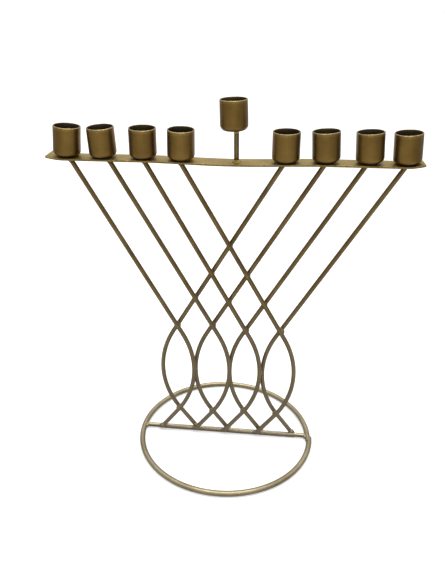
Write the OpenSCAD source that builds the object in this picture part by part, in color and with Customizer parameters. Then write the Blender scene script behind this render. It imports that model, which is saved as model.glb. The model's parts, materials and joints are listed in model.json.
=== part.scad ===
// Nine-cup menorah: a lattice of eight bent rods on a ring foot, carrying a flat
// top bar with eight candle cups and a ninth, raised cup on a stem.
// Millimetres, +Z up. The origin is on the table under the middle of the ring.
// +X is to the right and -Y is towards the front.

/* [Base ring] */
// Radius of the base ring, to the middle of its bar
ring_r = 80; // [76:1:90]
// Diameter of the bar that the ring is bent from
ring_bar_d = 5; // [4.5:0.5:6]
// How far the ring's front end stands outside its rear end at the seam
ring_step = 1.5; // [0:0.5:2.5]

/* [Lattice] */
// Diameter of the lattice rods, the crossbar and the stem
rod_d = 4; // [3.5:0.5:4]
// How far the lattice stands behind the middle of the ring
lattice_back = 4; // [0:0.5:6]
// How far the lattice stands to the right of the middle of the ring
lattice_right = 1.5; // [0:0.5:2]
// Distance between neighbouring leaves, and between neighbouring cups
pitch = 31; // [30:0.5:32]
// Radius of the bend that makes one side of a leaf
bend_r = 78; // [76:1:84]
// Height of the widest part of the leaves above the table
leaf_mid_z = 71.5; // [68:0.5:75]
// Angle between a rod's tail and the vertical, in degrees
tail_angle = 37; // [36:0.5:40]

/* [Top bar] */
// Length of the top bar
bar_length = 297; // [292:1:305]
// Width of the top bar
bar_width = 20; // [18:0.5:25]
// Thickness of the top bar
bar_t = 1.5; // [1.5:0.25:3]
// Height of the top bar's underside above the table
bar_z = 270; // [255:1:285]
// Tilt of the top bar, right end up, in degrees
bar_tilt = 0.9; // [0:0.1:1.5]
// How far the bar sags under the raised cup
bar_sag = 1.5; // [0:0.1:2]
// How far the bar's ends turn up
bar_end_rise = 2; // [0:0.1:3]

/* [Candle cups] */
// Outer diameter of a cup
cup_d = 22; // [20:0.5:24]
// Height of a cup
cup_h = 23.5; // [20:0.5:28]
// Thickness of a cup's wall and floor
cup_wall = 1; // [0.8:0.1:1.5]
// Radius of the round bottom corner of a cup
cup_corner_r = 4; // [3:0.5:5]
// Distance from the lattice's middle line to the innermost cups
first_cup_x = 40.5; // [39:0.5:42]
// Smallest gap between a cup's floor and the bar
cup_gap = 0.3; // [0.3:0.1:1]

/* [Raised cup] */
// Height of the raised cup's floor above the table
raised_cup_z = 295; // [290:1:305]
// Distance from the lattice's middle line to the foot of the stem
stem_x = 2.3; // [0:0.1:3]
// Lean of the stem to the left, in degrees
stem_lean = 1.4; // [0:0.1:2]
// How far the raised cup's middle stands to the left of the stem
raised_cup_slip = 1.8; // [0:0.1:2.5]

/* [Hidden] */

$fn = 64;
BRASS = "#7d6a35";
CUP_BRASS = "#74592a";
BAR_BRASS = "#8f7f4e";
WELD = "#6e6238";

SIDES = 4;       // rods, leaves and cups on each side
RODS = 2 * SIDES;
MARGIN = 20;     // overreach of cutting solids
FILM = 0.1;      // gap between crossing rods, which the welds fill
SEAM_INSET = 0.5;   // the ring's rear end stops this far in front of the crossbar
STEM_OVERLAP = 1;   // the uncut stem's reach into the raised cup
BEAD_RISE = 0.5;    // height of the stem foot bead's middle above the bar
END_WELD_SIDE = 0.7;    // the left end bead's distance from the ring, in its own radii
END_WELD_FRONT = 0.65;  // and from the crossbar

// Small errors of hand work, from left to right, in millimetres and degrees.
cup_slip = [-1.5, -2.5, -1, -1.5, 0.5, 1, 3.5, 1];
cup_lean = [5.5, -2, 1, 1.5, -0.5, -3.5, -4, -4];
cup_nod = [0.5, 2.5, 2.5, 3, 2, 0.5, 0, 1.5];
rod_slip = [1.5, 2, -0.5, -2.5, 0, 1, 2, 1.5];
leaf_slip = [-0.5, 0.5, -0.5, -0.5];
leaf_half = [15, 16, 14, 14.5];
raised_cup_lean = -2.5;
raised_cup_nod = 0.5;

rod_r = rod_d / 2;
ring_bar_r = ring_bar_d / 2;
ring_z = ring_bar_r;
crossbar_z = ring_z;
rod_offset = rod_r + FILM / 2;

// Welds
seam_gap = 1;
seam_weld_r = 3.7;
end_weld_r = 2.4;
foot_weld_r = 3.3;
pair_weld_r = 3.8;
lattice_weld_r = 2.5;
leaf_weld_r = 2.9;
last_leaf_weld_r = 3.6;
side_weld_r = 1.9;
top_weld_r = 2.8;
stem_foot_weld_r = 3.3;
stem_top_weld_r = 2.8;
pad_r = 6.2;

// ---- Base ring ----

// The ring is one bar bent almost full circle. Its last quarter has a slightly
// larger radius, so its front end stands outside its rear end at the seam.
// The end angles are kept to a tenth of a degree.
function tenth(angle) = round(10 * angle) / 10;

crossbar_front_y = lattice_back - rod_r;
seam_y = crossbar_front_y - SEAM_INSET;
rear_end_angle = tenth(asin(seam_y / ring_r));
front_r = ring_r + ring_step;
front_end_angle = tenth(asin((seam_y - seam_gap - ring_step) / front_r));

module bent_bar(bend, d, from_angle, to_angle) {
    rotate_extrude(angle = to_angle - from_angle, start = from_angle, $fn = 240)
        translate([bend, 0])
            circle(d = d);
}

module base_ring() {
    color(BAR_BRASS)
        translate([0, 0, ring_z]) {
            bent_bar(ring_r, ring_bar_d, rear_end_angle, 270);
            translate([0, ring_step, 0])
                bent_bar(front_r, ring_bar_d, -90, front_end_angle);
        }
}

// ---- Crossbar ----

module crossbar_blank() {
    translate([0, lattice_back, crossbar_z])
        rotate([0, 90, 0])
            cylinder(h = 2 * ring_r, d = rod_d, center = true);
}

module crossbar() {
    color(BRASS)
        difference() {
            crossbar_blank();
            base_ring();
        }
}

// ---- Lattice rods ----

// Rods 0 to 3 start under the left cups and lie in the front plane.
// Rods 4 to 7 are the same rods turned over, and lie in the rear plane.
function bulge(i) = i < SIDES ? 1 : -1;
function leaf_of(i) = i % SIDES;
function leaf_x(k) = lattice_right + pitch * (k - 1.5) + leaf_slip[k];
function rod_y(i) = lattice_back - bulge(i) * rod_offset;

// Regular place of cup i, before hand work moves it
function place_x(i) = i < SIDES
    ? lattice_right - first_cup_x - pitch * (SIDES - 1 - i)
    : lattice_right + first_cup_x + pitch * (i - SIDES);

function bar_underside_z(x) = bar_z + x * tan(bar_tilt);
function rod_top_x(i) = place_x(i) + rod_slip[i];

// A rod's outline in its leaf's own plane, with the bulge to the right:
// a straight line from the bar, a bend, and a straight tail to the crossbar.
function bend_centre_x(i) = leaf_half[leaf_of(i)] - bend_r;
function top_dx(i) = bulge(i) * (rod_top_x(i) - leaf_x(leaf_of(i))) - bend_centre_x(i);
function top_dz(i) = bar_underside_z(rod_top_x(i)) - leaf_mid_z;
function top_reach(i) = norm([top_dx(i), top_dz(i)]);
function lean_angle(i) = atan2(top_dz(i), top_dx(i)) - acos(bend_r / top_reach(i));
function straight_length(i) = sqrt(pow(top_reach(i), 2) - pow(bend_r, 2));

swell = 0.06;
swell_reach = 0.3;
swell_angle = swell_reach / bend_r * 180 / PI;
tail_z = leaf_mid_z - bend_r * sin(tail_angle);
tail_length = (tail_z - crossbar_z) / cos(tail_angle);

// Place of a rod's tail at height z
function tail_x(i, z) = leaf_x(leaf_of(i)) + bulge(i)
    * (bend_centre_x(i) + bend_r * cos(tail_angle) - (tail_z - z) * tan(tail_angle));

// A straight length of rod that leaves the bend at an angle, up or down.
// The bend's end carries a slight swelling, which both lengths run into.
module straight(i, angle, length, turn) {
    translate([bend_centre_x(i) + bend_r * cos(angle), 0, leaf_mid_z + bend_r * sin(angle)])
        rotate([0, turn - angle, 0]) {
            translate([0, 0, swell_reach])
                cylinder(h = length, d = rod_d);
            sphere(r = rod_r + swell);
        }
}

module rod_blank(i) {
    translate([leaf_x(leaf_of(i)), rod_y(i), 0])
        mirror([bulge(i) < 0 ? 1 : 0, 0, 0]) {
            straight(i, lean_angle(i), straight_length(i) + rod_d, 0);
            translate([bend_centre_x(i), 0, leaf_mid_z])
                rotate([90, 0, 0])
                    bent_bar(bend_r, rod_d, swell_angle - tail_angle, lean_angle(i) - swell_angle);
            straight(i, -tail_angle, tail_length + rod_d, 180);
        }
}

module below_crossbar_middle() {
    translate([-ring_r, -ring_r, crossbar_z - MARGIN])
        cube([2 * ring_r, 2 * ring_r, MARGIN]);
}

module rod(i) {
    color(BRASS)
        difference() {
            rod_blank(i);
            above_bar_underside();
            crossbar_blank();
            below_crossbar_middle();
        }
}

// ---- Top bar ----

SAG_SPAN = 75;          // the bar sags between these distances from its middle
TURN_UP_START = 136;    // the ends turn up from here on
BAR_STEP = bar_length / 66;

function bar_bow(x) =
    abs(x) < SAG_SPAN ? -bar_sag * pow(cos(90 * x / SAG_SPAN), 2)
    : abs(x) < TURN_UP_START ? 0
    : bar_end_rise * pow((abs(x) - TURN_UP_START) / (bar_length / 2 - TURN_UP_START), 1.5);

bar_xs = [for (k = [-33:33]) k * BAR_STEP];
bar_underside = [for (x = bar_xs) [x, bar_bow(x)]];
bar_topside = [for (k = [66:-1:0]) [bar_xs[k], bar_bow(bar_xs[k]) + bar_t]];

// The bar's own frame: its origin is under the middle of the bar
module on_bar() {
    translate([0, lattice_back, bar_z])
        rotate([0, -bar_tilt, 0])
            children();
}

module across_bar(width) {
    rotate([90, 0, 0])
        linear_extrude(height = width, center = true)
            children();
}

module bar_blank() {
    on_bar()
        across_bar(bar_width)
            polygon(concat(bar_underside, bar_topside));
}

module above_bar_underside() {
    on_bar()
        across_bar(2 * bar_width)
            polygon(concat(bar_underside, [
                [bar_length / 2, MARGIN],
                [-bar_length / 2, MARGIN]
            ]));
}

module top_bar() {
    color(BAR_BRASS)
        bar_blank();
}

// ---- Candle cups ----

cup_r = cup_d / 2;
cup_floor_r = cup_r - cup_corner_r;
bore_r = cup_r - cup_wall;

// Outer form of a cup with its axis on Z and its floor at the origin
module cup_blank() {
    rotate_extrude($fn = 96) {
        square([cup_floor_r, cup_corner_r]);
        translate([0, cup_corner_r])
            square([cup_r, cup_h - cup_corner_r]);
        intersection() {
            translate([cup_floor_r, cup_corner_r])
                circle(r = cup_corner_r);
            square([cup_r, cup_corner_r]);
        }
    }
}

module cup_form() {
    difference() {
        cup_blank();
        translate([0, 0, cup_corner_r])
            cylinder(h = cup_h, r = bore_r, $fn = 96);
        translate([0, 0, cup_wall])
            cylinder(h = cup_h, r = cup_floor_r, $fn = 96);
        rotate_extrude($fn = 96)
            intersection() {
                translate([cup_floor_r, cup_corner_r])
                    circle(r = cup_corner_r - cup_wall);
                square([cup_r, cup_corner_r]);
            }
    }
}

function cup_x(i) = place_x(i) + cup_slip[i];
function cup_tip(i) = norm([cup_lean[i], cup_nod[i]]);
function cup_lift(i) =
    bar_bow(cup_x(i)) + bar_t + cup_gap + cup_floor_r * sin(cup_tip(i));

module at_cup(i) {
    on_bar()
        translate([cup_x(i), 0, cup_lift(i)])
            rotate([cup_nod[i], cup_lean[i], 0])
                children();
}

module cup(i) {
    color(CUP_BRASS)
        at_cup(i)
            cup_form();
}

// ---- Raised cup and its stem ----

stem_foot = [lattice_right + stem_x, lattice_back, bar_z];
stem_length = raised_cup_z - bar_z + STEM_OVERLAP;
raised_cup_x = stem_foot[0] - (raised_cup_z - bar_z) * tan(stem_lean) - raised_cup_slip;

module at_raised_cup() {
    translate([raised_cup_x, lattice_back, raised_cup_z])
        rotate([raised_cup_nod, raised_cup_lean, 0])
            children();
}

module on_stem() {
    translate(stem_foot)
        rotate([0, -stem_lean, 0])
            children();
}

module stem_blank() {
    on_stem()
        cylinder(h = stem_length, d = rod_d);
}

module shamash_stem() {
    color(BRASS)
        difference() {
            stem_blank();
            bar_blank();
            at_raised_cup()
                cup_blank();
        }
}

module shamash_cup() {
    color(CUP_BRASS)
        at_raised_cup()
            cup_form();
}

// ---- Welds: each one fills the space around a joint, up to the pieces it joins ----

module bead(place, r) {
    translate(place)
        sphere(r = r);
}

// At the right end, where the ring's two ends and the crossbar meet
module ring_seam_weld() {
    color(WELD)
        difference() {
            bead([ring_r, seam_y - seam_gap / 2, seam_weld_r + FILM], seam_weld_r);
            base_ring();
            crossbar_blank();
        }
}

// At the left end, in the front corner between the crossbar and the ring
end_weld_x = ring_r - ring_bar_r - END_WELD_SIDE * end_weld_r;
end_weld_y = crossbar_front_y - END_WELD_FRONT * end_weld_r;

module crossbar_weld() {
    color(WELD)
        difference() {
            bead([-end_weld_x, end_weld_y, end_weld_r + 2 * FILM], end_weld_r);
            base_ring();
            crossbar_blank();
        }
}

foot_z = crossbar_z + rod_r;

module foot_weld(rods, r) {
    middle = [for (i = rods) tail_x(i, foot_z)];
    difference() {
        bead([(middle[0] + middle[len(rods) - 1]) / 2, lattice_back, foot_z], r);
        crossbar_blank();
        for (i = rods)
            rod_blank(i);
    }
}

module rod_foot_welds() {
    color(WELD) {
        foot_weld([0], foot_weld_r);
        for (k = [0:SIDES - 2])
            foot_weld([k + SIDES, k + 1], pair_weld_r);
        foot_weld([RODS - 1], foot_weld_r);
    }
}

// Height where the straight parts of left rod a and right rod b cross
function crossing_z(a, b) =
    (rod_top_x(a) - rod_top_x(b)
        + tan(lean_angle(a)) * bar_underside_z(rod_top_x(a))
        + tan(lean_angle(b)) * bar_underside_z(rod_top_x(b)))
    / (tan(lean_angle(a)) + tan(lean_angle(b)));

function straight_x(i, z) = rod_top_x(i)
    + bulge(i) * tan(lean_angle(i)) * (bar_underside_z(rod_top_x(i)) - z);

// Height where the two bends of leaf k cross at its lower point
function leaf_foot_z(k) = leaf_mid_z - sqrt(pow(bend_r, 2) - pow(bend_r - leaf_half[k], 2));

module crossing_weld(a, b, x, z, r) {
    difference() {
        bead([x, lattice_back, z], r);
        rod_blank(a);
        rod_blank(b);
    }
}

module lattice_welds() {
    color(WELD)
        for (a = [0:SIDES - 1]) {
            for (b = [SIDES:SIDES + a]) {
                z = crossing_z(a, b);
                r = b < SIDES + a ? lattice_weld_r : a < SIDES - 1 ? leaf_weld_r : last_leaf_weld_r;
                crossing_weld(a, b, straight_x(a, z), z, r);
            }
            crossing_weld(a, a + SIDES, leaf_x(a), leaf_foot_z(a), leaf_weld_r);
        }
}

// Where a leaf's right side touches the next leaf's left side
module leaf_side_welds() {
    color(WELD)
        for (k = [0:SIDES - 2]) {
            right_side = leaf_x(k) + leaf_half[k];
            left_side = leaf_x(k + 1) - leaf_half[k + 1];
            crossing_weld(k, k + 1 + SIDES, (right_side + left_side) / 2, leaf_mid_z, side_weld_r);
        }
}

module rod_top_welds() {
    color(WELD)
        for (i = [0:RODS - 1])
            difference() {
                bead([rod_top_x(i), rod_y(i), bar_underside_z(rod_top_x(i))], top_weld_r);
                above_bar_underside();
                rod_blank(i);
            }
}

module cup_braze_pads() {
    color(WELD)
        for (i = [0:RODS - 1])
            difference() {
                on_bar()
                    translate([cup_x(i), 0, bar_bow(cup_x(i)) + bar_t / 2])
                        cylinder(h = cup_lift(i) + bar_t, r = pad_r);
                bar_blank();
                at_cup(i)
                    cup_blank();
            }
}

module shamash_welds() {
    color(WELD) {
        difference() {
            bead(stem_foot + [0, 0, bar_t - bar_sag + BEAD_RISE], stem_foot_weld_r);
            below_bar_topside();
            stem_blank();
        }
        difference() {
            on_stem()
                bead([0, 0, raised_cup_z - bar_z], stem_top_weld_r);
            stem_blank();
            at_raised_cup()
                cup_blank();
        }
    }
}

module below_bar_topside() {
    on_bar()
        across_bar(2 * bar_width)
            polygon(concat(bar_topside, [
                [-bar_length / 2, -MARGIN],
                [bar_length / 2, -MARGIN]
            ]));
}

base_ring();
crossbar();
rod(0);  // rod_left_1
rod(1);  // rod_left_2
rod(2);  // rod_left_3
rod(3);  // rod_left_4
rod(4);  // rod_right_1
rod(5);  // rod_right_2
rod(6);  // rod_right_3
rod(7);  // rod_right_4
top_bar();
cup(0);  // cup_1
cup(1);  // cup_2
cup(2);  // cup_3
cup(3);  // cup_4
cup(4);  // cup_5
cup(5);  // cup_6
cup(6);  // cup_7
cup(7);  // cup_8
shamash_stem();
shamash_cup();
ring_seam_weld();
crossbar_weld();
rod_foot_welds();
lattice_welds();
leaf_side_welds();
rod_top_welds();
cup_braze_pads();
shamash_welds();
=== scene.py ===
"""A nine-cup menorah of brass-finished rods on a ring foot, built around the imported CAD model.

Lengths are in metres.
"""

import json
import math

import bmesh
import bpy
import numpy as np
from mathutils import Matrix, Vector, noise


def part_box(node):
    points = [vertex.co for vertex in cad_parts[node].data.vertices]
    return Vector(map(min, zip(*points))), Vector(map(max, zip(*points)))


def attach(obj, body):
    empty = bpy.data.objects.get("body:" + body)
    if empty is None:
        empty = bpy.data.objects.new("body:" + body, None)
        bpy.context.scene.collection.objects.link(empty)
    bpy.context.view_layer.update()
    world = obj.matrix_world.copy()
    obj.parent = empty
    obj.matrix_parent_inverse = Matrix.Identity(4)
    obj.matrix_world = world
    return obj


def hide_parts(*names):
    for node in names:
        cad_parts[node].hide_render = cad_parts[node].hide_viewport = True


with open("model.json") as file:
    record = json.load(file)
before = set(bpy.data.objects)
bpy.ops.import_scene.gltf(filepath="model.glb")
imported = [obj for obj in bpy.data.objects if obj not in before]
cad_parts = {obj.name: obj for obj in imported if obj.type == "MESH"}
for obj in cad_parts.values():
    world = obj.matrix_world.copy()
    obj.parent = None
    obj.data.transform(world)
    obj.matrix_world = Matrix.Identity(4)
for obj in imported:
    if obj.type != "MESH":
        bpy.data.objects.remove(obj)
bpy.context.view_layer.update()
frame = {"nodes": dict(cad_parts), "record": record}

MM = 0.001
X, Y, Z = range(3)
UP = Vector((0, 0, 1))
ALONG_X = Vector((1, 0, 0))
ALONG_Y = Vector((0, 1, 0))


# ---- Camera ----

CAMERA_AT = Vector((33.8, -467.2, 393.4)) * MM
CAMERA_YAW = math.radians(4.78)
CAMERA_PITCH = math.radians(25.77)
CAMERA_ROLL = math.radians(1.05)
CAMERA_LENS = 38.8
CAMERA_SENSOR = 36
CAMERA_NEAREST = 0.01


def make_camera():
    data = bpy.data.cameras.new("camera")
    data.lens = CAMERA_LENS
    data.sensor_width = CAMERA_SENSOR
    data.clip_start = CAMERA_NEAREST
    camera = bpy.data.objects.new("camera", data)
    turn = (
        Matrix.Rotation(CAMERA_YAW, 4, "Z")
        @ Matrix.Rotation(math.pi / 2 - CAMERA_PITCH, 4, "X")
        @ Matrix.Rotation(CAMERA_ROLL, 4, "Z")
    )
    camera.matrix_world = Matrix.Translation(CAMERA_AT) @ turn
    bpy.context.collection.objects.link(camera)
    bpy.context.scene.camera = camera


make_camera()


# ---- Reading the CAD model ----

BEAD_GAP = 1.5 * MM  # weld solids closer together than this belong to one bead


def corners(node):
    """Vertices of a CAD node, and its edges as pairs of vertex numbers."""
    mesh = frame["nodes"][node].data
    points = np.empty(3 * len(mesh.vertices))
    mesh.vertices.foreach_get("co", points)
    edges = np.empty(2 * len(mesh.edges), int)
    mesh.edges.foreach_get("vertices", edges)
    return points.reshape(-1, 3), edges.reshape(-1, 2)


def section(node, axis, value):
    """Lowest and highest corners of the outline where a plane cuts a CAD node."""
    points, edges = corners(node)
    a, b = points[edges[:, 0]], points[edges[:, 1]]
    below, above = a[:, axis] - value, b[:, axis] - value
    crossing = below * above < 0
    share = below[crossing] / (below[crossing] - above[crossing])
    cut = a[crossing] + share[:, None] * (b[crossing] - a[crossing])
    return Vector(cut.min(0)), Vector(cut.max(0))


def section_middle(node, axis, value):
    low, high = section(node, axis, value)
    return (low + high) / 2


def middle(node):
    low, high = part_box(node)
    return (low + high) / 2


def islands(node):
    """Boxes of the separate beads in a CAD weld node, as (middle, half size)."""
    points, edges = corners(node)
    label = np.arange(len(points))
    while True:
        lowest = label.copy()
        np.minimum.at(lowest, edges[:, 0], label[edges[:, 1]])
        np.minimum.at(lowest, edges[:, 1], label[edges[:, 0]])
        if (lowest == label).all():
            break
        label = lowest
    boxes = []
    for mark in np.unique(label):
        part = points[label == mark]
        low, high = part.min(0), part.max(0)
        for box in boxes:
            if (low < box[1] + BEAD_GAP).all() and (high > box[0] - BEAD_GAP).all():
                box[0], box[1] = np.minimum(box[0], low), np.maximum(box[1], high)
                break
        else:
            boxes.append([low, high])
    return [(Vector((low + high) / 2), Vector((high - low) / 2)) for low, high in boxes]


SOCKETS = {m["name"]: m for m in frame["record"]["mounts"] if m["kind"] == "bore"}

rod_r = (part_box("crossbar")[1].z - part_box("crossbar")[0].z) / 2
crossbar_at = middle("crossbar")
ring_low, ring_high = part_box("base_ring")
ring_bar_r = (ring_high.z - ring_low.z) / 2
ring_r = ring_high.y - ring_bar_r
front_r = ring_high.x - ring_bar_r  # the front right quarter of the ring is a little wider
front_y = ring_low.y + ring_bar_r + front_r  # and this is its centre


# ---- Mesh helpers ----

NOISE_SHIFT = (1, 2.3, 5.1)  # spreads the seeds over the noise's space
BAR_SIDES = 28
BAR_ROUGH = 0.02 * MM
BAR_ROUGH_SIZE = 9 * MM
CAP_RINGS = ((0.97, 0.06), (0.85, 0.09))  # how far each ring of a cap shrinks and stands out


def piece(name, mesh, node, material, inside=None):
    """A finished mesh that stands for a CAD node. inside is the material of the faces marked 1."""
    shown = bpy.data.objects.new(name, mesh)
    bpy.context.collection.objects.link(shown)
    marks = [face.material_index for face in mesh.polygons]
    mesh.materials.clear()
    mesh.materials.append(material)
    if inside:
        mesh.materials.append(inside)
        mesh.polygons.foreach_set("material_index", marks)
    mesh.shade_smooth()
    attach(shown, "root")
    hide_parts(node)


def mark_wear_and_light(mesh, wear_and_light):
    """Stores a mask at each vertex, from 0 to 1, for the second colour: real wear on some pieces, painted
    highlights and painted shade on others.
    """
    values = [min(1.0, max(0.0, wear_and_light(v.co))) for v in mesh.vertices]
    mesh.attributes.new("wear_and_light", "FLOAT", "POINT").data.foreach_set("value", values)


def loft(name, rings):
    """A closed skin over rings of points. Each ring has the same number of points."""
    sides = len(rings[0])
    points = [p for ring in rings for p in ring]
    faces = []
    for r in range(len(rings) - 1):
        for k in range(sides):
            here, along = r * sides + k, r * sides + (k + 1) % sides
            faces.append((here, along, along + sides, here + sides))
    faces.append(tuple(reversed(range(sides))))
    faces.append(tuple(range(len(points) - sides, len(points))))
    mesh = bpy.data.meshes.new(name)
    mesh.from_pydata(points, [], faces)
    work = bmesh.new()
    work.from_mesh(mesh)
    bmesh.ops.recalc_face_normals(work, faces=work.faces)
    work.to_mesh(mesh)
    work.free()
    return mesh


def wobble(place, size, seed):
    """Smooth noise from -1 to 1 with features of the given size."""
    return noise.noise(place / size + Vector([seed * shift for shift in NOISE_SHIFT]))


def bar_rings(path, side, radius, sides=BAR_SIDES, rough=BAR_ROUGH, seed=1):
    """Rings of a round bar along a path. side is square to the whole path."""
    rings = []
    for k, at in enumerate(path):
        along = (path[min(k + 1, len(path) - 1)] - path[max(k - 1, 0)]).normalized()
        across = along.cross(side).normalized()
        ring = []
        for n in range(sides):
            turn = 2 * math.pi * n / sides
            out = math.cos(turn) * side + math.sin(turn) * across
            swell = rough * wobble(at + radius * out, BAR_ROUGH_SIZE, seed)
            ring.append(at + (radius + swell) * out)
        rings.append(ring)
    return rings


def cut_to(ring, along, at, normal):
    """Slides a ring's points along the bar to the plane through at."""
    return [p + along * ((at - p).dot(normal) / along.dot(normal)) for p in ring]


def rounded_cap(rings, at, along, radius):
    """Adds two smaller rings, so that a bar's sawn end has a softened edge."""
    for shrink, out in CAP_RINGS:
        rings.append([at + shrink * (p - at) + out * radius * along for p in rings[-1]])


# ---- Shader helpers ----


def link(tree, source, target):
    tree.links.new(source, target)


def noise_node(tree, place, size, detail):
    """Noise whose features are about size metres across."""
    node = tree.nodes.new("ShaderNodeTexNoise")
    node.inputs["Scale"].default_value = 1 / size
    node.inputs["Detail"].default_value = detail
    node.inputs["Roughness"].default_value = 0.55
    link(tree, place, node.inputs["Vector"])
    return node.outputs["Fac"]


def ramp_node(tree, value, stops):
    node = tree.nodes.new("ShaderNodeValToRGB")
    elements = node.color_ramp.elements
    while len(elements) < len(stops):
        elements.new(0.5)
    for element, (position, colour) in zip(elements, stops):
        element.position = position
        element.color = (*colour, 1)
    link(tree, value, node.inputs["Fac"])
    return node.outputs["Color"]


def mix_colour(tree, share, colour, other):
    node = tree.nodes.new("ShaderNodeMix")
    node.data_type = "RGBA"
    link(tree, share, node.inputs["Factor"])
    link(tree, colour, node.inputs[6])
    node.inputs[7].default_value = (*other, 1)
    return node.outputs[2]


def maths(tree, operation, a, b):
    node = tree.nodes.new("ShaderNodeMath")
    node.operation = operation
    for value, socket in ((a, node.inputs[0]), (b, node.inputs[1])):
        if isinstance(value, float):
            socket.default_value = value
        else:
            link(tree, value, socket)
    return node.outputs[0]


def map_range(tree, value, low, high, to_low, to_high):
    node = tree.nodes.new("ShaderNodeMapRange")
    link(tree, value, node.inputs["Value"])
    numbers = {"From Min": low, "From Max": high, "To Min": to_low, "To Max": to_high}
    for socket, number in numbers.items():
        node.inputs[socket].default_value = number
    return node.outputs["Result"]


def coordinate(tree, place, axis):
    node = tree.nodes.new("ShaderNodeSeparateXYZ")
    link(tree, place, node.inputs[0])
    return node.outputs[axis]


def show_reflections(tree, plain, reflected, output):
    """Gives reflections a shader of their own. Everything else sees the plain one."""
    pick = tree.nodes.new("ShaderNodeMixShader")
    link(tree, tree.nodes.new("ShaderNodeLightPath").outputs["Is Glossy Ray"], pick.inputs[0])
    link(tree, plain.outputs[0], pick.inputs[1])
    link(tree, reflected.outputs[0], pick.inputs[2])
    link(tree, pick.outputs[0], tree.nodes[output].inputs["Surface"])


# ---- Materials ----

CLOUD_SIZE = 14 * MM
SPECK_SIZE = 0.9 * MM
GRAIN_SIZE = 0.35 * MM
WEAR_AND_LIGHT_PATCH_SIZE = 1.6 * MM
CLOUD_SHARE = 0.75  # of the colour's change, the rest comes from the specks
LOW_SHARE = 0.85  # how much of the low colour shows near the table
WEAR_AND_LIGHT_POLISH = 0.08  # metal under the wear and painted light mask is this much smoother
GRAIN_DEPTH = 0.05 * MM


def brass(name, dark, usual, light, worn_and_painted_light, satin=0.42, grain=0.35, coat=0.1, low=None):
    """Antique brass finish: cloudy colour, fine grain, and another colour where a mask is set: real wear,
    and on some pieces painted highlights and painted shade.

    satin is its roughness and grain is the strength of its bump. low is the colour near the
    table, if the colour changes with height: the colour, and the heights in millimetres up to
    which it holds and where it ends. On the ring, crossbar and foot welds it is painted shade.
    """
    material = bpy.data.materials.new(name)
    material.use_nodes = True
    tree = material.node_tree
    shader = tree.nodes["Principled BSDF"]
    place = tree.nodes.new("ShaderNodeTexCoord").outputs["Object"]
    clouds = noise_node(tree, place, CLOUD_SIZE, 4.0)
    specks = noise_node(tree, place, SPECK_SIZE, 2.0)
    fine = noise_node(tree, place, GRAIN_SIZE, 3.0)

    cloudy = maths(
        tree,
        "ADD",
        maths(tree, "MULTIPLY", clouds, CLOUD_SHARE),
        maths(tree, "MULTIPLY", specks, 1 - CLOUD_SHARE),
    )
    colour = ramp_node(tree, cloudy, ((0.34, dark), (0.5, usual), (0.68, light)))
    if low:
        low_colour, holds, ends = low
        height = coordinate(tree, place, "Z")
        changed = map_range(tree, height, holds * MM, ends * MM, LOW_SHARE, 0.0)
        colour = mix_colour(tree, changed, colour, low_colour)
    # The mask picks the second colour: real wear, and on some pieces a painted highlight and painted shade.
    wear_and_light = tree.nodes.new("ShaderNodeAttribute")
    wear_and_light.attribute_name = "wear_and_light"
    broken = map_range(tree, noise_node(tree, place, WEAR_AND_LIGHT_PATCH_SIZE, 4.0), 0.3, 0.62, 0.25, 1.0)
    wear_and_light_mask = maths(tree, "MULTIPLY", wear_and_light.outputs["Fac"], broken)
    colour = mix_colour(tree, wear_and_light_mask, colour, worn_and_painted_light)
    link(tree, colour, shader.inputs["Base Color"])

    gloss = map_range(tree, specks, 0.3, 0.7, satin - 0.05, satin + 0.06)
    gloss = maths(tree, "SUBTRACT", gloss, maths(tree, "MULTIPLY", wear_and_light_mask, WEAR_AND_LIGHT_POLISH))
    link(tree, gloss, shader.inputs["Roughness"])

    bump = tree.nodes.new("ShaderNodeBump")
    bump.inputs["Strength"].default_value = grain
    bump.inputs["Distance"].default_value = GRAIN_DEPTH
    link(tree, maths(tree, "ADD", fine, specks), bump.inputs["Height"])
    link(tree, bump.outputs["Normal"], shader.inputs["Normal"])
    shader.inputs["Metallic"].default_value = 1.0
    shader.inputs["Coat Weight"].default_value = coat
    shader.inputs["Coat Roughness"].default_value = 0.35
    return material


GREYED = ((0.265, 0.22, 0.148), 20, 170)  # the rods and their welds turn greyer towards the table

RING_BRASS = brass(
    "ring_brass",
    dark=(0.215, 0.174, 0.1),
    usual=(0.28, 0.23, 0.136),
    light=(0.34, 0.282, 0.17),
    worn_and_painted_light=(0.45, 0.385, 0.25),
    satin=0.32,
    # Darker near the table: painted shade on the ring's underside.
    low=((0.13, 0.115, 0.08), 0.8, 2.8),
)
ROD_BRASS = brass(
    "rod_brass",
    dark=(0.115, 0.074, 0.027),
    usual=(0.15, 0.1, 0.037),
    light=(0.19, 0.13, 0.052),
    worn_and_painted_light=(0.3, 0.23, 0.11),
    low=GREYED,
)
CROSSBAR_BRASS = brass(
    "crossbar_brass",
    dark=(0.2, 0.16, 0.1),
    usual=(0.26, 0.21, 0.13),
    light=(0.32, 0.26, 0.165),
    # The worn colour is a painted highlight, laid along the crossbar's top.
    worn_and_painted_light=(0.42, 0.36, 0.25),
    # Darker below its top: painted shade on the crossbar's lower half.
    low=((0.085, 0.068, 0.045), 2.4, 4.3),
)
BAR_BRASS = brass(
    "bar_brass",
    dark=(0.26, 0.18, 0.043),
    usual=(0.315, 0.222, 0.057),
    light=(0.365, 0.265, 0.075),
    # The worn colour is darker: painted shade along the bar's edges.
    worn_and_painted_light=(0.15, 0.095, 0.035),
    satin=0.48,
)
CUP_BRASS = brass(
    "cup_brass",
    dark=(0.142, 0.081, 0.016),
    usual=(0.175, 0.103, 0.021),
    light=(0.205, 0.125, 0.03),
    # The light colour at the lip is partly real wear, partly a painted highlight.
    worn_and_painted_light=(0.50, 0.37, 0.15),
    coat=0.2,
)
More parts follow.
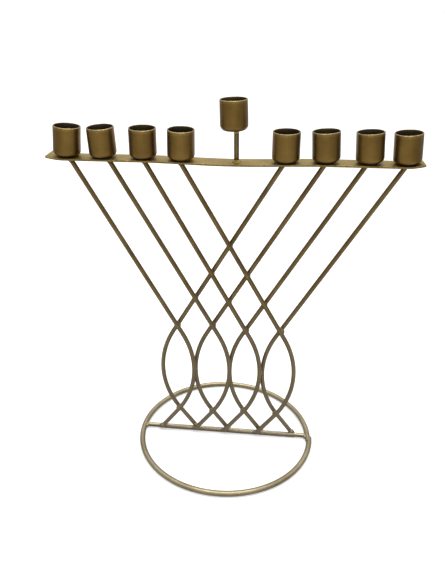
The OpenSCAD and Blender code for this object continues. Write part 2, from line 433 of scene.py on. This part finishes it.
# A dark colour inside the cups: painted shade in their hollows.
CUP_INSIDE_SHADE = brass(
    "cup_inside_shade",
    dark=(0.05, 0.04, 0.027),
    usual=(0.075, 0.058, 0.036),
    light=(0.1, 0.078, 0.045),
    worn_and_painted_light=(0.3, 0.22, 0.1),
    satin=0.55,
)
WELD_BRASS = brass(
    "weld_brass",
    dark=(0.13, 0.09, 0.038),
    usual=(0.165, 0.118, 0.05),
    light=(0.2, 0.148, 0.068),
    worn_and_painted_light=(0.36, 0.28, 0.14),
    satin=0.4,
    grain=0.5,
    low=GREYED,
)
FOOT_WELD_BRASS = brass(
    "foot_weld_brass",
    dark=(0.19, 0.152, 0.1),
    usual=(0.22, 0.18, 0.12),
    light=(0.25, 0.205, 0.138),
    worn_and_painted_light=(0.3, 0.25, 0.165),
    satin=0.4,
    grain=0.5,
    # Darker near the table: painted shade on the foot welds' lower parts.
    low=((0.12, 0.098, 0.068), 1.4, 4.4),
)


# ---- Base ring and crossbar ----

SEAM_BACK = 0.5 * MM  # the ring's rear end stops this far in front of the crossbar
SEAM_GAP = 1 * MM
RING_STEP = 1.5 * MM
RING_SIDES = 36
CROSSBAR_STEPS = 60
CROSSBAR_TUCK = 0.5 * MM  # the crossbar's left end runs this much further into the weld
CROSSBAR_ROUGH = 0.03 * MM


def arc(centre_y, radius, start, end):
    count = max(2, round(abs(end - start) * radius / RING_STEP))
    turns = [start + (end - start) * k / count for k in range(count + 1)]
    return [Vector((radius * math.cos(t), centre_y + radius * math.sin(t), ring_bar_r)) for t in turns]


def make_ring():
    seam_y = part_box("crossbar")[0].y - SEAM_BACK
    rear_end = math.asin(seam_y / ring_r)
    front_end = math.asin((seam_y - SEAM_GAP - front_y) / front_r)
    lowest = 1.5 * math.pi
    path = arc(0, ring_r, rear_end, lowest)
    path += arc(front_y, front_r, lowest, front_end + 2 * math.pi)[1:]
    rings = bar_rings(path, UP, ring_bar_r, sides=RING_SIDES, rough=0)
    rounded_cap(rings, path[-1], (path[-1] - path[-2]).normalized(), ring_bar_r)
    rings.reverse()
    rounded_cap(rings, path[0], (path[0] - path[1]).normalized(), ring_bar_r)
    mesh = loft("ring", rings)
    mark_wear_and_light(mesh, lambda p: 0.2 + 0.6 * wobble(p, 25 * MM, 4))
    piece("ring", mesh, "base_ring", RING_BRASS)


def make_crossbar():
    low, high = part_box("crossbar")
    xs = [low.x + (high.x - low.x) * k / CROSSBAR_STEPS for k in range(CROSSBAR_STEPS + 1)]
    path = [Vector((x, crossbar_at.y, crossbar_at.z)) for x in xs]
    path[0].x -= CROSSBAR_TUCK
    mesh = loft("crossbar", bar_rings(path, UP, rod_r, rough=CROSSBAR_ROUGH, seed=7))
    # A painted highlight: the light worn colour along the crossbar's top.
    mark_wear_and_light(mesh, lambda p: 0.9 * (p.z > crossbar_at.z + 0.6 * rod_r))
    piece("crossbar", mesh, "crossbar", CROSSBAR_BRASS)


# ---- Lattice rods ----

ROD_STEP = 2 * MM
ROD_FOOT = 6.5 * MM  # above this height a rod's outline is whole
ROD_HEAD = 3.5 * MM  # and below this depth under its top
ROD_SHORT = 0.1 * MM  # a rod stops this far below the top bar
RODS = [f"rod_{side}_{k}" for side in ("left", "right") for k in range(1, 5)]


def rod_line(node):
    """Middle line of a rod from its lowest point to its top."""
    low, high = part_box(node)
    start, end = ROD_FOOT, high.z - ROD_HEAD
    count = round((end - start) / ROD_STEP)
    line = [section_middle(node, Z, start + (end - start) * k / count) for k in range(count + 1)]
    foot = line[0] + (line[0] - line[1]) * ((line[0].z - low.z) / (line[1].z - line[0].z))
    head = line[-1] + (line[-1] - line[-2]) * ((high.z - line[-1].z) / (line[-1].z - line[-2].z))
    return [foot, *line, head]


ROD_LINES = {node: rod_line(node) for node in RODS}


def rod_at(node, z):
    """Point of a rod's middle line at a height, and the rod's direction there."""
    line = ROD_LINES[node]
    for a, b in zip(line, line[1:]):
        if z <= b.z or b is line[-1]:
            return a + (b - a) * ((z - a.z) / (b.z - a.z)), (b - a).normalized()


def make_rod(node, seed):
    line = ROD_LINES[node]
    rings = bar_rings(line, ALONG_Y, rod_r, seed=seed)
    up = (line[-1] - line[-2]).normalized()
    down = (line[0] - line[1]).normalized()
    rings[-1] = cut_to(rings[-1], up, Vector((0, 0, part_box(node)[1].z - ROD_SHORT)), UP)
    rings[0] = cut_to(rings[0], down, Vector((0, 0, crossbar_at.z)), UP)
    mesh = loft(node, rings)
    mark_wear_and_light(mesh, lambda p: 0.6 * wobble(p, 18 * MM, seed))
    piece(f"{node}_bar", mesh, node, ROD_BRASS)


# ---- Top bar ----

BAR_EDGE_R = 0.35 * MM
BAR_EDGE_STEPS = 3
BAR_FACE_STEPS = 10
BAR_CORNER_R = 0.8 * MM
BAR_END_STATIONS = (0.02, 0.08, 0.2, 0.4, 0.8, 1.2)  # millimetres from the end, dense at the corner
BAR_STEP = 2
BAR_WAVE = 0.08 * MM  # how far the bar's sides wander
BAR_WAVE_SIZE = 22 * MM
BAR_EDGE_SHADE = 0.9 * MM  # how far in from its sides the bar's edges get the dark colour, as painted shade


def bar_edge(y, z, start):
    """Quarter round about a point, from a start angle in degrees."""
    turns = [math.radians(start + 90 * k / BAR_EDGE_STEPS) for k in range(BAR_EDGE_STEPS + 1)]
    return [(y + BAR_EDGE_R * math.cos(t), z + BAR_EDGE_R * math.sin(t)) for t in turns]


def bar_section(thick, half_width):
    """Outline of the flat bar: a rectangle with rounded edges."""
    y, z = half_width - BAR_EDGE_R, thick / 2 - BAR_EDGE_R
    outline = []
    for way, start in ((1, 0), (-1, 180)):
        outline += bar_edge(way * y, way * z, start)
        face_z = outline[-1][1]
        outline += [(way * y * (1 - 2 * k / BAR_FACE_STEPS), face_z) for k in range(1, BAR_FACE_STEPS)]
        outline += bar_edge(-way * y, way * z, start + 90)
    return outline


def make_top_bar():
    low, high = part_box("top_bar")
    at_y, half_width = middle("top_bar").y, (high.y - low.y) / 2
    half_length = (high.x - low.x) / 2
    inner = range(BAR_STEP, BAR_STEP * int(half_length / MM / BAR_STEP), BAR_STEP)
    from_end = [s * MM for s in (*BAR_END_STATIONS, *inner)]
    xs = sorted([low.x + s for s in from_end] + [high.x - s for s in from_end] + [(low.x + high.x) / 2])
    rings = []
    for x in xs:
        under, over = section("top_bar", X, x)
        inset = BAR_CORNER_R - min(x - low.x, high.x - x, BAR_CORNER_R)
        width = half_width - BAR_CORNER_R + math.sqrt(BAR_CORNER_R**2 - inset**2) - BAR_WAVE
        z = (under.z + over.z) / 2
        ring = []
        for y, dz in bar_section(over.z - under.z, width):
            wave = BAR_WAVE * wobble(Vector((x, y, 0)), BAR_WAVE_SIZE, 5)
            ring.append(Vector((x, at_y + y + wave, z + dz)))
        rings.append(ring)
    mesh = loft("top_bar", rings)
    # Painted shade: the dark worn colour along the bar's two edges.
    mark_wear_and_light(mesh, lambda p: 1 - (half_width - abs(p.y - at_y)) / BAR_EDGE_SHADE)
    piece("flat_bar", mesh, "top_bar", BAR_BRASS)


# ---- Candle cups ----

CUP_WALL = 1 * MM
CUP_CORNER_R = 4 * MM
CUP_SIDES = 96
CUP_DENT = 0.22 * MM
CUP_DENT_SIZE = 9 * MM
CUP_DIP = 0.12 * MM  # how far the lip dips where it is low
CUP_DIP_SIZE = 8 * MM
CUP_NOISE_R = 10 * MM  # the dents are read off a circle of this radius
# How far down from the lip the light colour reaches: partly real wear, partly a painted highlight.
LIP_WEAR_AND_HIGHLIGHT = 0.9 * MM
CUP_NODES = {f"cup_{k}": f"candle_socket_{k}" for k in range(1, 9)} | {"shamash_cup": "candle_socket_raised"}


def cup_frame(node):
    """Matrix that puts a cup standing at the origin in its place, and its radius and height."""
    socket = SOCKETS[CUP_NODES[node]]
    axis = Vector(socket["axis"]).normalized()
    bore_r, bore_length = socket["dims"]["r_mm"] * MM, socket["dims"]["length_mm"] * MM
    height = bore_length + CUP_CORNER_R
    foot = Vector(socket["pos_m"]) - axis * (CUP_CORNER_R + bore_length / 2)
    turn = UP.rotation_difference(axis).to_matrix().to_4x4()
    return Matrix.Translation(foot) @ turn, bore_r + CUP_WALL, height


def cup_profile(radius, height):
    """Half outline of a cup from the middle of its underside round the lip to the middle of its floor."""
    lip_r = CUP_WALL / 2
    inner_corner = CUP_CORNER_R - CUP_WALL
    flat = radius - CUP_CORNER_R
    wall_top = height - lip_r
    wall = wall_top - CUP_CORNER_R
    points = [(flat * k / 4, 0) for k in range(1, 5)]
    for k in range(1, 11):
        t = math.pi / 2 * k / 10
        points.append((flat + CUP_CORNER_R * math.sin(t), CUP_CORNER_R * (1 - math.cos(t))))
    points += [(radius, CUP_CORNER_R + wall * k / 8) for k in range(1, 9)]
    for k in range(1, 9):
        t = math.pi * k / 8
        points.append((radius - lip_r + lip_r * math.cos(t), wall_top + lip_r * math.sin(t)))
    points += [(radius - CUP_WALL, wall_top - wall * k / 8) for k in range(1, 9)]
    for k in range(1, 9):
        t = math.pi / 2 * k / 8
        points.append((flat + inner_corner * math.cos(t), CUP_CORNER_R - inner_corner * math.sin(t)))
    points += [(flat * (4 - k) / 4, CUP_WALL) for k in range(1, 4)]
    return points


def make_cup(node, seed):
    place, radius, height = cup_frame(node)
    rings = []
    for r, z in cup_profile(radius, height):
        ring = []
        for k in range(CUP_SIDES):
            turn = 2 * math.pi * k / CUP_SIDES
            out = Vector((math.cos(turn), math.sin(turn), 0))
            dent = wobble(Vector((out.x, out.y, z / height)) * CUP_NOISE_R, CUP_DENT_SIZE, seed) - 0.6
            give = CUP_DENT * min(1, z / height) * dent * (r / radius)
            dip = -CUP_DIP * abs(wobble(out * CUP_NOISE_R, CUP_DIP_SIZE, seed + 20))
            on_lip = z > height - CUP_WALL
            ring.append(place @ Vector((out.x * (r + give), out.y * (r + give), z + dip * on_lip)))
        rings.append(ring)
    mesh = loft(node, rings)
    up = place.inverted()

    # Light colour at the lip, partly real wear and partly a painted highlight; less of it inside.
    def wear_and_light(p):
        local = up @ p
        near_lip = 1 - (height - local.z) / LIP_WEAR_AND_HIGHLIGHT
        inside = math.hypot(local.x, local.y) < radius - 0.8 * CUP_WALL
        return near_lip * (0.4 if inside else 1.0)

    for face in mesh.polygons:
        local = up @ face.center
        in_bore = math.hypot(local.x, local.y) < radius - 0.9 * CUP_WALL and local.z > 0.5 * CUP_WALL
        face.material_index = int(in_bore)
    mark_wear_and_light(mesh, wear_and_light)
    piece(f"{node}_shell", mesh, node, CUP_BRASS, inside=CUP_INSIDE_SHADE)


# ---- Stem ----

STEM_STEPS = 12
STEM_END_SHARE = 0.15  # its outline is read no nearer to its ends than this share of its height
STEM_LIFT = 0.1 * MM  # its foot is this far above the bar


def make_stem():
    low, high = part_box("shamash_stem")
    span = high.z - low.z
    shares = [STEM_END_SHARE + (1 - 2 * STEM_END_SHARE) * k / STEM_STEPS for k in range(STEM_STEPS + 1)]
    line = [section_middle("shamash_stem", Z, low.z + span * share) for share in shares]
    along = (line[-1] - line[0]).normalized()
    foot = line[0] - along * (line[0].z - low.z - STEM_LIFT)
    head = line[-1] + along * (high.z - line[-1].z)
    mesh = loft("stem", bar_rings([foot, *line, head], ALONG_Y, rod_r, seed=11))
    mark_wear_and_light(mesh, lambda p: 0.4 * wobble(p, 12 * MM, 8))
    piece("stem", mesh, "shamash_stem", ROD_BRASS)


# ---- Welds ----

VOXEL = 0.3 * MM
RELAX_STEPS = 10
BEAD_STEP = 0.5 * MM
RUN_OUT = 0.35 * MM  # a weld's skin ends this deep inside the bar
LUMP_SIZE = 1.3 * MM
LUMP_DEPTH = 0.12 * MM


def ball(work, at, radius, flat=1.0):
    """A ball, or a lower mound if flat is under 1."""
    place = Matrix.Translation(at) @ Matrix.Diagonal((1, 1, flat, 1))
    bmesh.ops.create_icosphere(work, subdivisions=3, radius=radius, matrix=place)


def ball_chain(work, start, end, radius, end_radius):
    """Overlapping balls from start, where the metal is thick, to end, where it runs out."""
    count = max(1, round((end - start).length / BEAD_STEP))
    for k in range(count + 1):
        share = k / count
        place = Matrix.Translation(start.lerp(end, share))
        r = radius + (end_radius - radius) * share**1.5
        bmesh.ops.create_icosphere(work, subdivisions=2, radius=r, matrix=place)


def sleeve(work, at, along, reach, bar_r, swell):
    """Weld metal round a bar, on both sides of a joint."""
    for way in (-1, 1):
        ball_chain(work, at, at + along * reach * way, bar_r + swell, bar_r - RUN_OUT)


def melt(work, name):
    """Turns overlapping balls into one skin."""
    rough = bpy.data.meshes.new(name)
    work.to_mesh(rough)
    work.free()
    holder = bpy.data.objects.new(name, rough)
    bpy.context.collection.objects.link(holder)
    remesh = holder.modifiers.new("skin", "REMESH")
    remesh.mode = "VOXEL"
    remesh.voxel_size = VOXEL
    relax = holder.modifiers.new("relax", "SMOOTH")
    relax.factor = 0.5
    relax.iterations = RELAX_STEPS
    graph = bpy.context.evaluated_depsgraph_get()
    mesh = bpy.data.meshes.new_from_object(holder.evaluated_get(graph))
    bpy.data.objects.remove(holder)
    bpy.data.meshes.remove(rough)
    mesh.name = name
    return mesh


def make_lumpy(mesh, depth, seed):
    moved = [v.co + v.normal * depth * wobble(v.co, LUMP_SIZE, seed) for v in mesh.vertices]
    mesh.vertices.foreach_set("co", [x for place in moved for x in place])
    mesh.update()


def weld_piece(name, work, node, seed, depth=LUMP_DEPTH, material=WELD_BRASS):
    mesh = melt(work, name)
    make_lumpy(mesh, depth, seed)
    mark_wear_and_light(mesh, lambda p: 0.7 * wobble(p, 2.5 * MM, seed + 3))
    piece(name, mesh, node, material)


def nearest_rods(at, count):
    """The rods that pass closest to a joint, nearest first."""
    return sorted(RODS, key=lambda node: (rod_at(node, at.z)[0] - at).length)[:count]


def join_rods(work, at, radius, reach, swell):
    """A ball where two rods meet, and metal round both."""
    ball(work, at, radius)
    for node in nearest_rods(at, 2):
        point, along = rod_at(node, at.z)
        sleeve(work, point, along, reach, rod_r, swell)


def make_lattice_welds():
    work = bmesh.new()
    for at, half in islands("lattice_welds"):
        join_rods(work, at, 1.02 * max(half.x, half.z), reach=4.5 * MM, swell=0.12 * MM)
    weld_piece("lattice_joints", work, "lattice_welds", 21)

    work = bmesh.new()
    for at, half in islands("leaf_side_welds"):
        join_rods(work, at, half.z, reach=5 * MM, swell=0.05 * MM)
    weld_piece("leaf_side_joints", work, "leaf_side_welds", 22)


FOOT_SINK = 0.8 * MM  # the metal round a foot starts this far below the crossbar's top
FOOT_CLIMB = 4 * MM  # and ends this far above it
FOOT_FILLET_R = 1.35 * MM
FOOT_FILLET_OUT = 1.9 * MM
NOTCH_R = 2.1 * MM
LONE_FOOT_R = 2.6 * MM
FRONT_BEAD_R = 1.9 * MM
FRONT_BEAD_OUT = 0.9 * MM
FRONT_BEAD_DROP = 0.3 * MM


def make_front_bead(work, feet):
    """A long bead in front of the crossbar, from the first foot to the last."""
    y, z = crossbar_at.y - FRONT_BEAD_OUT, crossbar_at.z - FRONT_BEAD_DROP
    start, end = [Vector((pick(at.x for at, half in feet), y, z)) for pick in (min, max)]
    ball_chain(work, start, end, FRONT_BEAD_R, FRONT_BEAD_R)


def make_foot_welds():
    """Metal round the rods' feet, in the notch between two feet and along the crossbar's front."""
    work = bmesh.new()
    top_z = crossbar_at.z + rod_r
    feet = islands("rod_foot_welds")
    make_front_bead(work, feet)
    for at, half in feet:
        rods = [n for n in RODS if abs(rod_at(n, at.z)[0].x - at.x) < half.x]
        for node in rods:
            foot = rod_at(node, top_z - FOOT_SINK)[0]
            above = rod_at(node, top_z + FOOT_CLIMB)[0]
            ball_chain(work, foot, above, rod_r + 0.15 * MM, rod_r - RUN_OUT)
            for way in (-1, 1):
                ball(work, foot + ALONG_X * way * FOOT_FILLET_OUT, FOOT_FILLET_R)
        if len(rods) > 1:
            ball(work, Vector((at.x, at.y, top_z + 0.8 * MM)), NOTCH_R)
        else:
            ball(work, Vector((foot.x, foot.y - 0.4 * MM, top_z)), LONE_FOOT_R)
        front = Vector((at.x, crossbar_at.y - 0.8 * MM, crossbar_at.z))
        sleeve(work, front, ALONG_X, reach=half.x + 1.5 * MM, bar_r=rod_r, swell=0.2 * MM)
    weld_piece("foot_joints", work, "rod_foot_welds", 23, material=FOOT_WELD_BRASS)


def make_ring_weld(name, node, seed):
    """A fillet in the front corner of the crossbar and the ring, and metal round both."""
    work = bmesh.new()
    y = middle(node).y
    side = 1 if middle(node).x > 0 else -1
    corner = Vector((side * (ring_r - ring_bar_r), crossbar_at.y - rod_r, ring_bar_r))
    ball(work, corner, radius=1.9 * MM)
    ball(work, Vector((side * ring_r, y, 2 * ring_bar_r - 0.9 * MM)), radius=1.3 * MM)
    on_ring = Vector((side * ring_r, y, ring_bar_r))
    sleeve(work, on_ring, ALONG_Y, reach=4 * MM, bar_r=ring_bar_r, swell=0)
    on_crossbar = Vector((side * (ring_r - 3 * MM), crossbar_at.y, crossbar_at.z))
    sleeve(work, on_crossbar, ALONG_X, reach=4 * MM, bar_r=rod_r, swell=0.1 * MM)
    weld_piece(name, work, node, seed)


def make_top_welds():
    work = bmesh.new()
    for at, half in islands("rod_top_welds"):
        node = nearest_rods(at, 1)[0]
        head, along = rod_at(node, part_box(node)[1].z - 0.3 * MM)
        ball_chain(work, head, head - along * 3 * MM, rod_r + 0.5 * MM, rod_r - RUN_OUT)
        ball(work, head - UP * 0.3 * MM, 1.05 * max(half.x, half.y), flat=0.35)
    weld_piece("rod_top_joints", work, "rod_top_welds", 26)


def make_cup_brazes():
    work = bmesh.new()
    for at, half in islands("cup_braze_pads"):
        ball(work, at, half.x, flat=0.42)
    weld_piece("cup_brazes", work, "cup_braze_pads", 27, depth=0.2 * MM)


def make_stem_welds():
    work = bmesh.new()
    for at, half in islands("shamash_welds"):
        radius = max(half.x, half.y)
        if at.z < middle("shamash_stem").z:
            foot = at - UP * half.z
            ball(work, foot, 1.2 * radius, flat=0.4)
            ball_chain(work, foot, foot + UP * 3.5 * MM, rod_r + 0.3 * MM, rod_r - RUN_OUT)
        else:
            ball(work, at + UP * half.z * 0.5, 1.05 * radius, flat=0.4)
            ball_chain(work, at, at - UP * 3 * MM, rod_r + 0.3 * MM, rod_r - RUN_OUT)
    weld_piece("stem_joints", work, "shamash_welds", 28, depth=0.06 * MM, material=BAR_BRASS)


make_ring()
make_crossbar()
for number, rod in enumerate(RODS):
    make_rod(rod, 30 + number)
make_top_bar()
for number, cup in enumerate(CUP_NODES):
    make_cup(cup, 50 + number)
make_stem()
make_lattice_welds()
make_foot_welds()
make_ring_weld("ring_seam_joint", "ring_seam_weld", 24)
make_ring_weld("crossbar_joint", "crossbar_weld", 25)
make_top_welds()
make_cup_brazes()
make_stem_welds()


# ---- Floor and light ----

FLOOR_REACH = 12
FLOOR_WHITE = 0.86
FLOOR_GLOW = 0.3
FLOOR_SEEN = 1.1  # how bright the floor looks in the metal
FLOOR_SEEN_ASIDE = 0.5  # and how bright far out to the sides
ASIDE_FROM, ASIDE_TO = 0.5, 0.9
SHADED = 0.55  # share of its light that the floor under the object keeps, as the metal sees it
SHADED_TO, LIT_FROM = 0.08, 0.35
ROOM_LIGHT = ((0.0, 0.35), (0.25, 0.6), (0.7, 1.4))  # height in the sky, and its light in the metal


def floor_paint():
    """White paper. Reflections see it shaded under the object and dim far out to the sides."""
    paint = bpy.data.materials.new("floor_white")
    paint.use_nodes = True
    tree = paint.node_tree
    white = tree.nodes["Principled BSDF"]
    white.inputs["Base Color"].default_value = (FLOOR_WHITE, FLOOR_WHITE, FLOOR_WHITE, 1)
    white.inputs["Roughness"].default_value = 0.9
    white.inputs["Specular IOR Level"].default_value = 0.1
    white.inputs["Emission Color"].default_value = (1, 1, 1, 1)
    white.inputs["Emission Strength"].default_value = FLOOR_GLOW
    place = tree.nodes.new("ShaderNodeTexCoord").outputs["Object"]
    sideways = maths(tree, "ABSOLUTE", coordinate(tree, place, "X"), 0.0)
    outwards = tree.nodes.new("ShaderNodeVectorMath")
    outwards.operation = "LENGTH"
    link(tree, place, outwards.inputs[0])
    shaded = map_range(tree, outwards.outputs["Value"], SHADED_TO, LIT_FROM, SHADED, 1.0)
    dimmed = map_range(tree, sideways, ASIDE_FROM, ASIDE_TO, FLOOR_SEEN, FLOOR_SEEN_ASIDE)
    reflected = tree.nodes.new("ShaderNodeEmission")
    link(tree, maths(tree, "MULTIPLY", shaded, dimmed), reflected.inputs["Strength"])
    show_reflections(tree, white, reflected, "Material Output")
    return paint


def make_floor():
    data = bpy.data.meshes.new("floor")
    sides = ((-1, -1), (1, -1), (1, 1), (-1, 1))
    data.from_pydata([(x * FLOOR_REACH, y * FLOOR_REACH, 0) for x, y in sides], [], [(0, 1, 2, 3)])
    data.materials.append(floor_paint())
    floor = bpy.data.objects.new("floor", data)
    bpy.context.collection.objects.link(floor)


def soft_light(name, at, aim, size, brightness):
    """A square soft box. brightness is its radiance."""
    data = bpy.data.lights.new(name, "AREA")
    data.shape = "SQUARE"
    data.size = size
    data.energy = brightness * math.pi * size * size
    lamp = bpy.data.objects.new(name, data)
    lamp.location = at
    lamp.rotation_euler = (Vector(aim) - Vector(at)).to_track_quat("-Z", "Y").to_euler()
    lamp.visible_camera = False
    bpy.context.collection.objects.link(lamp)


def make_sky():
    """White surroundings that light the floor evenly. Reflections see a room with a bright ceiling."""
    world = bpy.data.worlds.new("room")
    world.use_nodes = True
    tree = world.node_tree
    white = tree.nodes["Background"]
    white.inputs["Color"].default_value = (1, 1, 1, 1)
    white.inputs["Strength"].default_value = 1.0
    place = tree.nodes.new("ShaderNodeTexCoord").outputs["Generated"]
    stops = [(height, (light, light, light)) for height, light in ROOM_LIGHT]
    reflected = tree.nodes.new("ShaderNodeBackground")
    link(tree, ramp_node(tree, coordinate(tree, place, "Z"), stops), reflected.inputs["Color"])
    show_reflections(tree, white, reflected, "World Output")
    bpy.context.scene.world = world


make_floor()
soft_light("overhead", at=(0.0, 0.1, 1.5), aim=(0, 0, 0), size=0.8, brightness=4.6)
soft_light("front", at=(0.35, -1.4, 1.0), aim=(0, 0, 0.2), size=0.5, brightness=1.5)
make_sky()
bpy.context.scene.view_settings.view_transform = "Standard"
